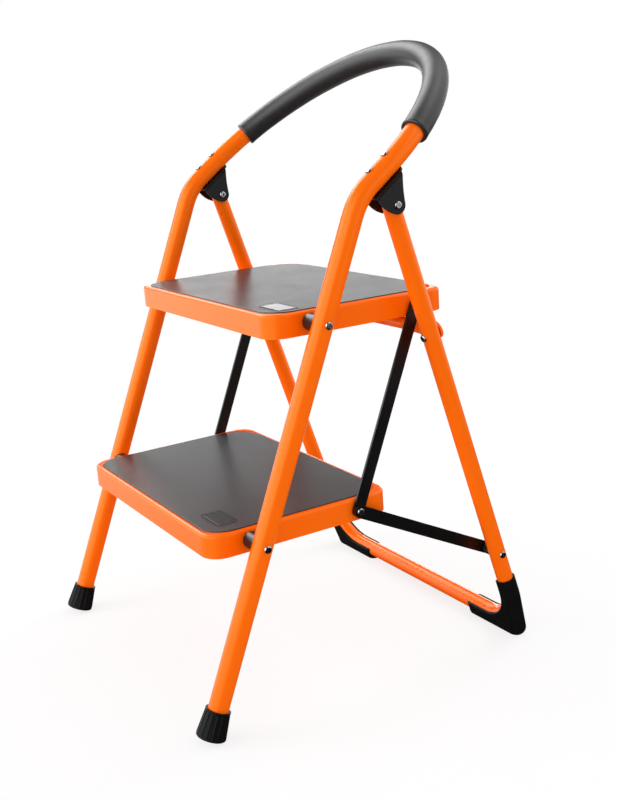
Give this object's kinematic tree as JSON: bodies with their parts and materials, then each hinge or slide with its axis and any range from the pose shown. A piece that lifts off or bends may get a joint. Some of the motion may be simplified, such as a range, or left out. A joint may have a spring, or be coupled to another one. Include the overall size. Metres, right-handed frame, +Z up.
{
  "type": "step ladder",
  "caption": "Folding household step ladder: wide matted treads on a bent tube frame, an arched foam-covered handrail, hinged rear legs and rubber feet.",
  "frame": {"origin": "on the floor, under the middle of the open ladder's bounding box", "axes": "+X across the width, the steps' front edges face -Y, +Z up"},
  "size_m": [0.4758, 0.5018, 0.7934],
  "materials": {
    "orange_paint": "smooth powder coat, satin",
    "black_paint": "black powder coat, satin",
    "foot_rubber": "moulded, matte",
    "mat_rubber": "fine-grained, matte",
    "grip_foam": "closed-cell foam, matte",
    "black_plastic": "moulded, matte",
    "zinc_steel": "zinc plated"
  },
  "bodies": {
    "front_frame": {"front_frame_tube": "orange_paint", "handrail_foam": "grip_foam", "front_foot_left": "foot_rubber", "front_foot_right": "foot_rubber", "hinge_bracket_left": "black_paint", "hinge_bracket_right": "black_paint", "bracket_rivets": "zinc_steel", "hinge_pins": "zinc_steel", "upper_step_bushes": "black_plastic", "lower_step_bushes": "black_plastic", "upper_pivot_rivets": "zinc_steel", "lower_pivot_rivets": "zinc_steel"},
    "rear_frame": {"rear_frame_tube": "orange_paint", "rear_foot_left": "foot_rubber", "rear_foot_right": "foot_rubber", "rear_crossbar": "orange_paint", "crossbar_rivets": "zinc_steel", "stay_spacers": "black_plastic", "stay_anchor_rivets": "zinc_steel", "rear_leg_plugs": "black_plastic"},
    "upper_step": {"upper_step_pan": "orange_paint", "upper_step_mat": "mat_rubber", "upper_step_brace": "orange_paint", "upper_link_rivets": "zinc_steel", "upper_link_washers": "zinc_steel"},
    "lower_step": {"lower_step_pan": "orange_paint", "lower_step_mat": "mat_rubber", "lower_step_brace": "orange_paint", "lower_link_rivets": "zinc_steel", "lower_link_washers": "zinc_steel"},
    "lift_link_left": {"lift_link_left": "black_paint"},
    "lift_link_right": {"lift_link_right": "black_paint"},
    "stay_left": {"stay_left": "black_paint", "stay_end_rivet_left": "zinc_steel"},
    "stay_right": {"stay_right": "black_paint", "stay_end_rivet_right": "zinc_steel"}
  },
  "joints": [
    {"name": "rear_leg_fold", "type": "hinge", "parent": "front_frame", "child": "rear_frame", "pos_m": [0, 0.03584, 0.5942], "axis": [-1, 0, 0], "range_deg": [0, 39.5]},
    {"name": "upper_step_fold", "type": "hinge", "parent": "front_frame", "child": "upper_step", "pos_m": [0, -0.06193, 0.467], "axis": [1, 0, 0], "range_deg": [0, 54]},
    {"name": "lower_step_fold", "type": "hinge", "parent": "front_frame", "child": "lower_step", "pos_m": [0, -0.1539, 0.221], "axis": [1, 0, 0], "range_deg": [0, 54]},
    {"name": "lift_link_left_fold", "type": "hinge", "parent": "upper_step", "child": "lift_link_left", "pos_m": [0, 0.08807, 0.46974], "axis": [-1, 0, 0], "range_deg": [0, 54]},
    {"name": "lift_link_right_fold", "type": "hinge", "parent": "upper_step", "child": "lift_link_right", "pos_m": [0, 0.08807, 0.46974], "axis": [-1, 0, 0], "range_deg": [0, 54]},
    {"name": "stay_left_fold", "type": "hinge", "parent": "lower_step", "child": "stay_left", "pos_m": [0, -0.00391, 0.22374], "axis": [-1, 0, 0], "range_deg": [0, 136.81]},
    {"name": "stay_right_fold", "type": "hinge", "parent": "lower_step", "child": "stay_right", "pos_m": [0, -0.00391, 0.22374], "axis": [-1, 0, 0], "range_deg": [0, 136.81]}
  ],
  "couplings": [
    {"joint": "upper_step_fold", "follows": "rear_leg_fold", "ratio": 1.3671},
    {"joint": "lower_step_fold", "follows": "rear_leg_fold", "ratio": 1.3671},
    {"joint": "lift_link_left_fold", "follows": "rear_leg_fold", "ratio": 1.3671},
    {"joint": "lift_link_right_fold", "follows": "rear_leg_fold", "ratio": 1.3671},
    {"joint": "stay_left_fold", "follows": "rear_leg_fold", "ratio": 3.4633},
    {"joint": "stay_right_fold", "follows": "rear_leg_fold", "ratio": 3.4633}
  ]
}
